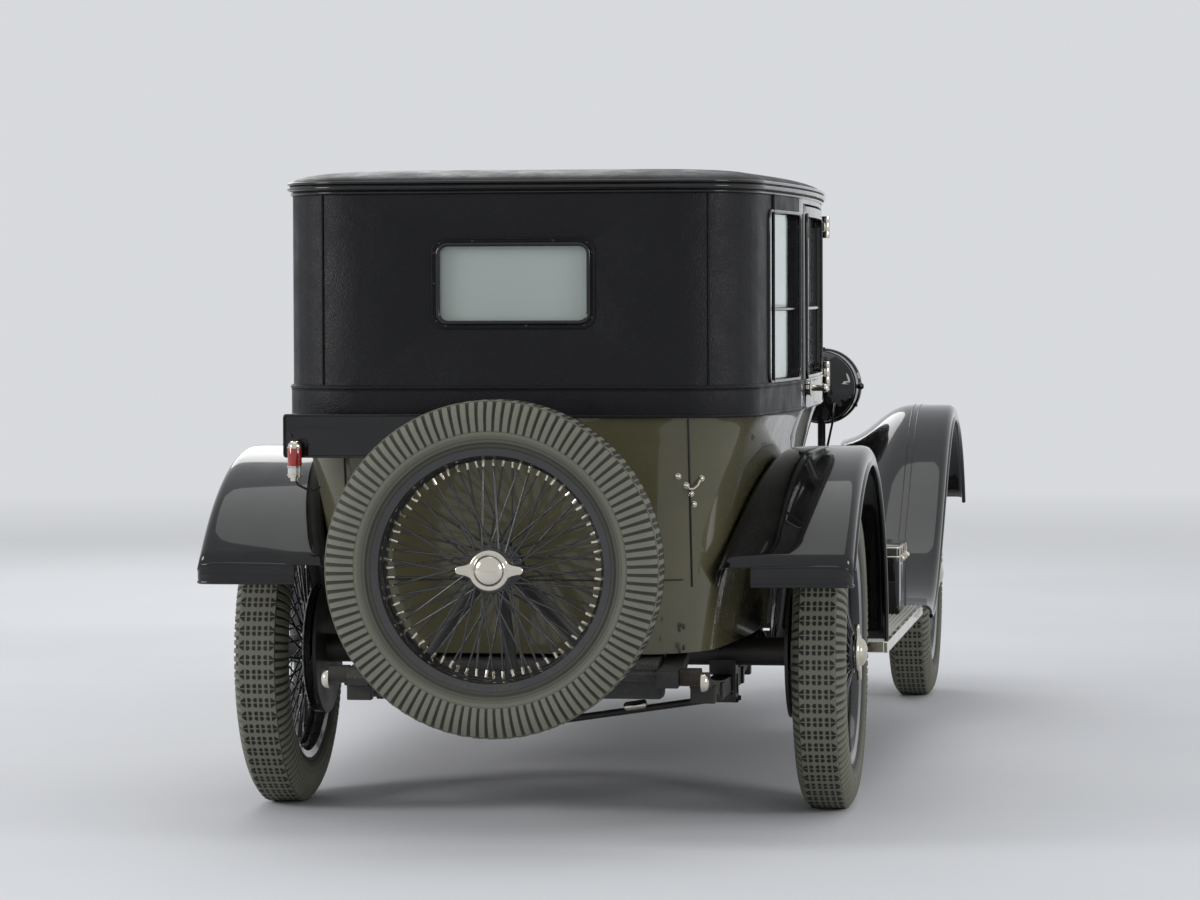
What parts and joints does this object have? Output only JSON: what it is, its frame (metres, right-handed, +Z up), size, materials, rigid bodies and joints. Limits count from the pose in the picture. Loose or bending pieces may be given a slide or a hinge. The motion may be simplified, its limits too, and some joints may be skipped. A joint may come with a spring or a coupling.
{
  "type": "1920s two-door closed car",
  "caption": "Low closed car of the 1920s on wire wheels, with separate black wings, a leathercloth upper body, a folding bonnet and a spare wheel behind.",
  "frame": {"origin": "on the ground, on the centre plane, midway between the foremost and the rearmost points", "axes": "+X forward, +Y to the left of the car, +Z up"},
  "size_m": [4.715, 1.66, 1.612],
  "materials": {
    "axle_black": "satin black paint, greasy",
    "board_rubber": "ribbed matting in metal edging",
    "boards": "plain boards",
    "body_olive": "glossy olive green paint",
    "chassis_black": "satin black paint",
    "engine_grey": "dull grey",
    "glass": "clear",
    "gloss_black": "deep gloss black paint",
    "lamp_red": "red glass in a nickel case",
    "leathercloth": "grained black leathercloth",
    "nickel": "polished nickel",
    "radiator_core": "dark honeycomb",
    "seat_leather": "brown pleated leather",
    "spring_steel": "dark oiled steel",
    "tyre": "dusty grey rubber",
    "wheel_black": "gloss black enamel",
    "wood": "varnished"
  },
  "bodies": {
    "car": {"frame": "chassis_black", "front_axle": "axle_black", "rear_axle": "axle_black", "leaf_springs": "spring_steel", "dampers": "axle_black", "engine": "engine_grey", "exhaust": "spring_steel", "fuel_tank": "chassis_black", "floor": "boards", "tail_tub": "body_olive", "scuttle": "body_olive", "cabin_back": "leathercloth", "roof": "leathercloth", "windscreen_frame": "gloss_black", "fixed_glass": "glass", "dashboard": "wood", "front_seats": "seat_leather", "rear_seat": "seat_leather", "steering_column": "axle_black", "radiator_shell": "nickel", "radiator_core": "radiator_core", "head_lamps": "gloss_black", "front_wings": "gloss_black", "rear_wings": "gloss_black", "running_boards": "board_rubber", "splash_aprons": "gloss_black", "tool_box": "gloss_black", "spare_carrier": "chassis_black", "spare_wheel": "wheel_black", "spare_tyre": "tyre", "plate_board": "gloss_black", "tail_lamp": "lamp_red"},
    "door_left": {"door_left": "body_olive", "door_glass_left": "glass"},
    "door_right": {"door_right": "body_olive", "door_glass_right": "glass"},
    "bonnet_top_left": {"bonnet_top_left": "body_olive"},
    "bonnet_top_right": {"bonnet_top_right": "body_olive"},
    "bonnet_side_left": {"bonnet_side_left": "body_olive"},
    "bonnet_side_right": {"bonnet_side_right": "body_olive"},
    "steering_wheel": {"steering_wheel": "wood"},
    "knuckle_left": {"knuckle_left": "axle_black"},
    "knuckle_right": {"knuckle_right": "axle_black"},
    "track_rod": {"track_rod": "axle_black"},
    "front_left_wheel": {"wheel_front_left": "wheel_black", "tyre_front_left": "tyre"},
    "front_right_wheel": {"wheel_front_right": "wheel_black", "tyre_front_right": "tyre"},
    "rear_left_wheel": {"wheel_rear_left": "wheel_black", "tyre_rear_left": "tyre"},
    "rear_right_wheel": {"wheel_rear_right": "wheel_black", "tyre_rear_right": "tyre"}
  },
  "joints": [
    {"name": "rear_left_spin", "type": "hinge", "parent": "car", "child": "rear_left_wheel", "pos_m": [-1.2875, 0.7, 0.395], "axis": [0, 1, 0], "continuous": true},
    {"name": "rear_right_spin", "type": "hinge", "parent": "car", "child": "rear_right_wheel", "pos_m": [-1.2875, -0.7, 0.395], "axis": [0, 1, 0], "continuous": true},
    {"name": "front_left_spin", "type": "hinge", "parent": "knuckle_left", "child": "front_left_wheel", "pos_m": [1.8125, 0.7, 0.395], "axis": [0, 1, 0], "continuous": true},
    {"name": "front_right_spin", "type": "hinge", "parent": "knuckle_right", "child": "front_right_wheel", "pos_m": [1.8125, -0.7, 0.395], "axis": [0, 1, 0], "continuous": true},
    {"name": "steer_left", "type": "hinge", "parent": "car", "child": "knuckle_left", "pos_m": [1.8125, 0.55, 0.395], "axis": [0, 0, 1], "range_deg": [-30, 30]},
    {"name": "steer_right", "type": "hinge", "parent": "car", "child": "knuckle_right", "pos_m": [1.8125, -0.55, 0.395], "axis": [0, 0, 1], "range_deg": [-30, 30]},
    {"name": "track_rod_turn", "type": "hinge", "parent": "knuckle_left", "child": "track_rod", "pos_m": [1.6625, 0.55, 0.303], "axis": [0, 0, 1], "range_deg": [-30, 30]},
    {"name": "steering_wheel_turn", "type": "hinge", "parent": "car", "child": "steering_wheel", "pos_m": [-0.4875, -0.265, 1.02], "axis": [-0.8908, 0, 0.4545], "range_deg": [-300, 300]},
    {"name": "door_left_hinge", "type": "hinge", "parent": "car", "child": "door_left", "pos_m": [-0.2845, 0.6, 1], "axis": [0, 0, -1], "range_deg": [0, 65]},
    {"name": "bonnet_left_lift", "type": "hinge", "parent": "car", "child": "bonnet_top_left", "pos_m": [0.1685, 0, 0.966], "axis": [1, 0, 0], "range_deg": [0, 60]},
    {"name": "bonnet_left_fold", "type": "hinge", "parent": "bonnet_top_left", "child": "bonnet_side_left", "pos_m": [0.1685, 0.34149, 0.89], "axis": [0.9981, -0.0611, 0], "range_deg": [-21, 0]},
    {"name": "door_right_hinge", "type": "hinge", "parent": "car", "child": "door_right", "pos_m": [-0.2845, -0.6, 1], "axis": [0, 0, 1], "range_deg": [0, 65]},
    {"name": "bonnet_right_lift", "type": "hinge", "parent": "car", "child": "bonnet_top_right", "pos_m": [0.1685, 0, 0.966], "axis": [-1, 0, 0], "range_deg": [0, 60]},
    {"name": "bonnet_right_fold", "type": "hinge", "parent": "bonnet_top_right", "child": "bonnet_side_right", "pos_m": [0.1685, -0.34149, 0.89], "axis": [-0.9981, -0.0611, 0], "range_deg": [-21, 0]}
  ],
  "couplings": [
    {"joint": "steer_right", "follows": "steer_left", "ratio": 1},
    {"joint": "steering_wheel_turn", "follows": "steer_left", "ratio": 10},
    {"joint": "track_rod_turn", "follows": "steer_left", "ratio": -1},
    {"joint": "bonnet_left_fold", "follows": "bonnet_left_lift", "ratio": -0.35},
    {"joint": "bonnet_right_fold", "follows": "bonnet_right_lift", "ratio": -0.35}
  ]
}
